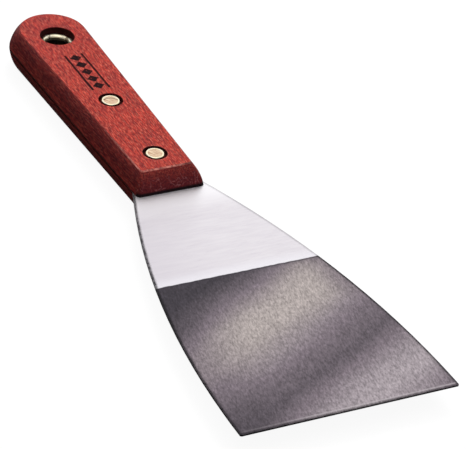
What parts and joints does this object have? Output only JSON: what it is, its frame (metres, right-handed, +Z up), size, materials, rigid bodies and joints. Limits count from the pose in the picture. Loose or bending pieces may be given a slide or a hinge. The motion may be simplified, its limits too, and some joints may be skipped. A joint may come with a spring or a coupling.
{
  "type": "stripping knife",
  "caption": "Painter's stripping knife: broad two-tone steel blade with a full-length tang between riveted, red-stained wooden scales and a brass-lined hanging hole.",
  "frame": {"origin": "on the plane that the knife lies on, midway along it and on its centre line", "axes": "+X along the knife towards the cutting edge, +Z up out of the upper scale's face, so that Y runs along the cutting edge"},
  "size_m": [0.2338, 0.075, 0.0144],
  "materials": {
    "blade_steel": "satin, cross-brushed above the grind line and darker, lengthwise-ground below it",
    "stained_wood": "red-stained close-grained hardwood, thin matt lacquer",
    "rivet_brass": "polished",
    "eyelet_brass": "polished"
  },
  "bodies": {
    "root": {"blade": "blade_steel", "upper_scale": "stained_wood", "lower_scale": "stained_wood", "front_rivet_pin": "rivet_brass", "front_rivet_tube": "rivet_brass", "rear_rivet_pin": "rivet_brass", "rear_rivet_tube": "rivet_brass", "hang_eyelet": "eyelet_brass", "hang_eyelet_washer": "eyelet_brass"}
  },
  "joints": []
}
